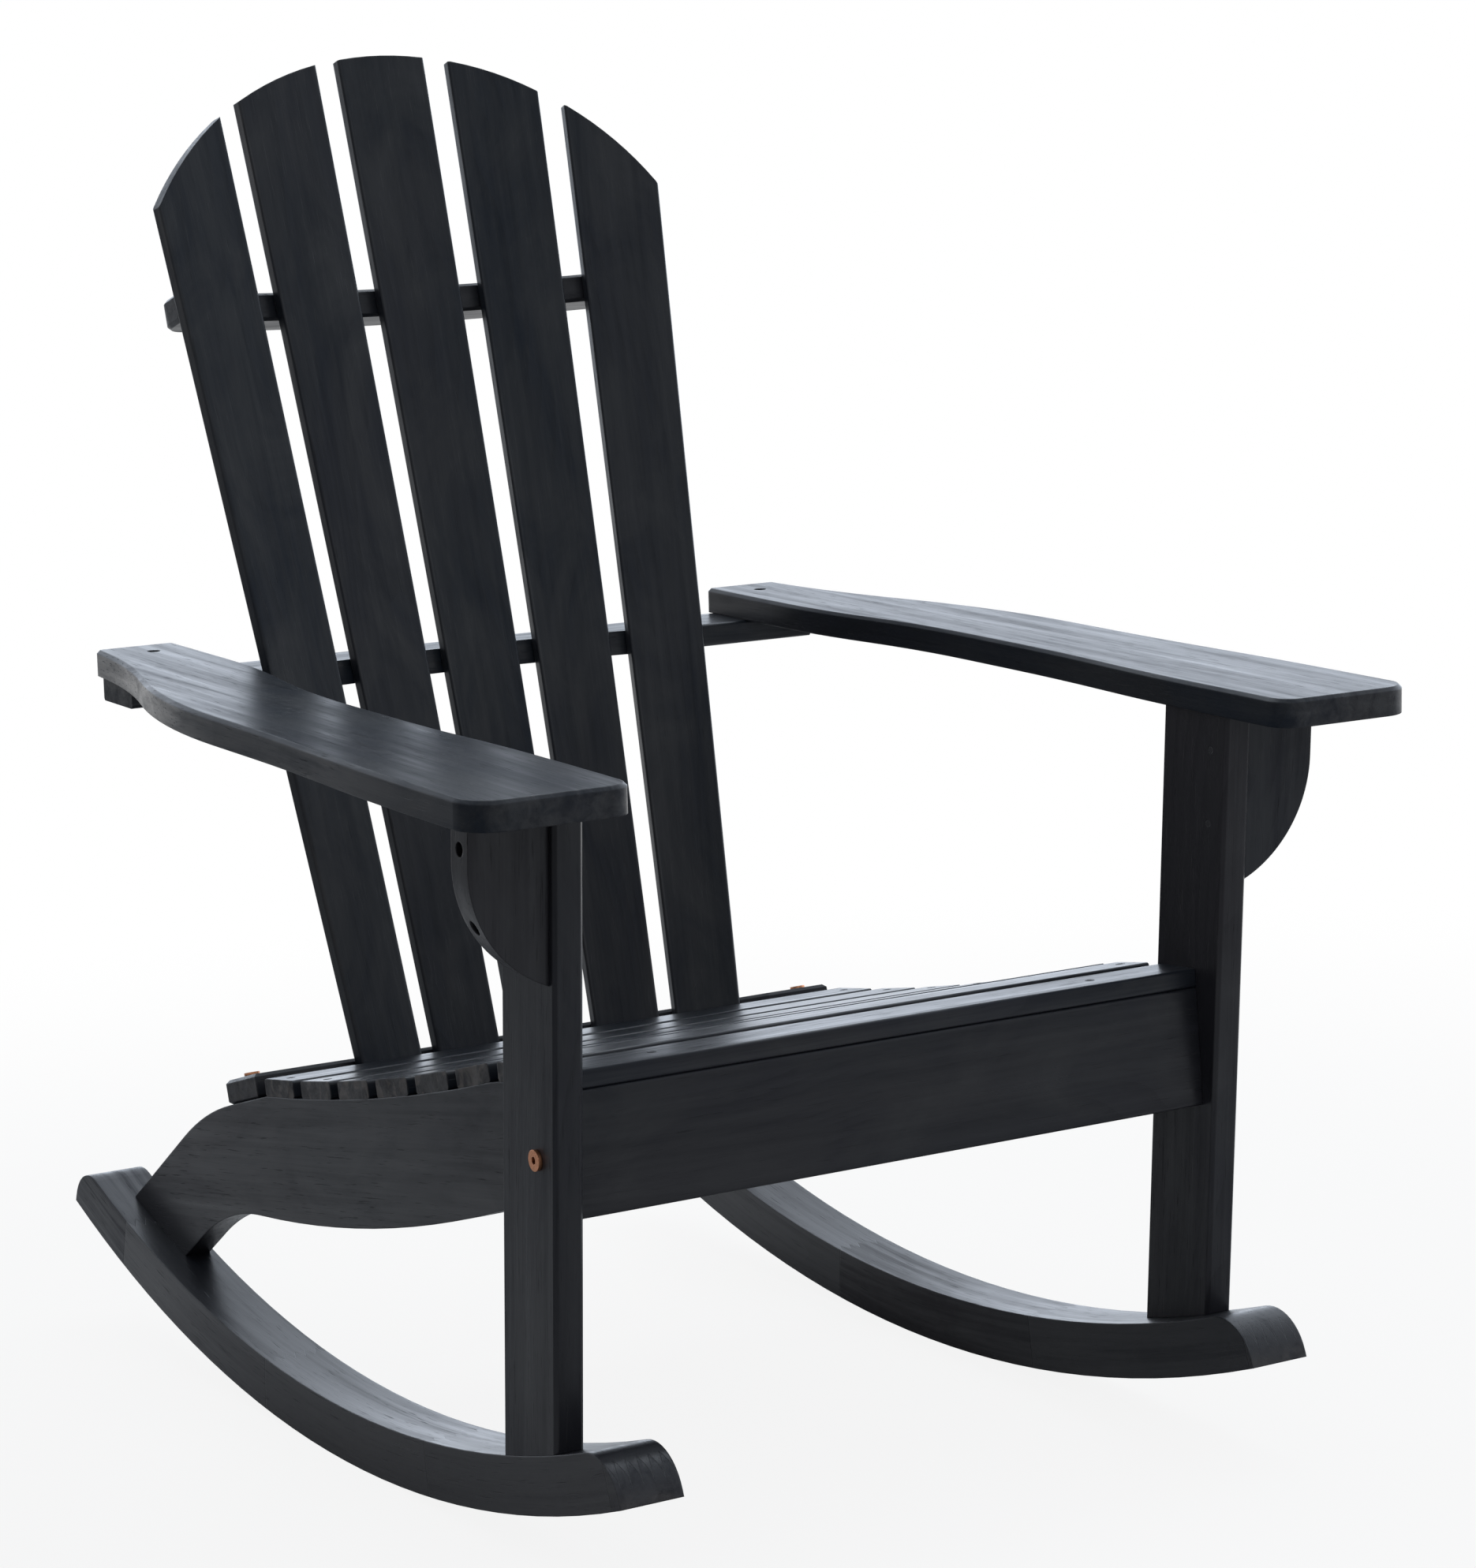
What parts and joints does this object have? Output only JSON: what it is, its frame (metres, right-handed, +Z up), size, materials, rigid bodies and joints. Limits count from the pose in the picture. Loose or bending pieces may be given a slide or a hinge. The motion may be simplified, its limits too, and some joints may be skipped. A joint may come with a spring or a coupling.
{
  "type": "rocking chair",
  "caption": "Low wooden rocking chair with a dished slatted seat, a fanned round-topped slatted back, wide flat arms on brackets and a pair of curved rockers.",
  "frame": {"origin": "on the floor under the centre of the chair's bounding box, with the chair at its rest", "axes": "+Z up, -Y towards the front edge of the seat, +X to the right as seen from the front"},
  "size_m": [0.738, 0.955, 1.0223],
  "materials": {
    "stained_wood": "satin black-grey stain over visible grain",
    "bolt_metal": "copper-coloured plating"
  },
  "bodies": {
    "root": {"arm_bracket_left": "stained_wood", "arm_bracket_right": "stained_wood", "arm_left": "stained_wood", "arm_rail": "stained_wood", "arm_right": "stained_wood", "arm_screws": "bolt_metal", "back_slat_1": "stained_wood", "back_slat_2": "stained_wood", "back_slat_3": "stained_wood", "back_slat_4": "stained_wood", "back_slat_5": "stained_wood", "bracket_screws": "bolt_metal", "front_apron": "stained_wood", "front_leg_left": "stained_wood", "front_leg_right": "stained_wood", "leg_bolts": "bolt_metal", "lower_back_rail": "stained_wood", "lower_rail_bolts": "bolt_metal", "rocker_left": "stained_wood", "rocker_right": "stained_wood", "seat_slat_1": "stained_wood", "seat_slat_2": "stained_wood", "seat_slat_3": "stained_wood", "seat_slat_4": "stained_wood", "seat_slat_5": "stained_wood", "seat_slat_6": "stained_wood", "seat_slat_7": "stained_wood", "seat_slat_8": "stained_wood", "side_rail_left": "stained_wood", "side_rail_right": "stained_wood", "upper_batten": "stained_wood"}
  },
  "joints": []
}
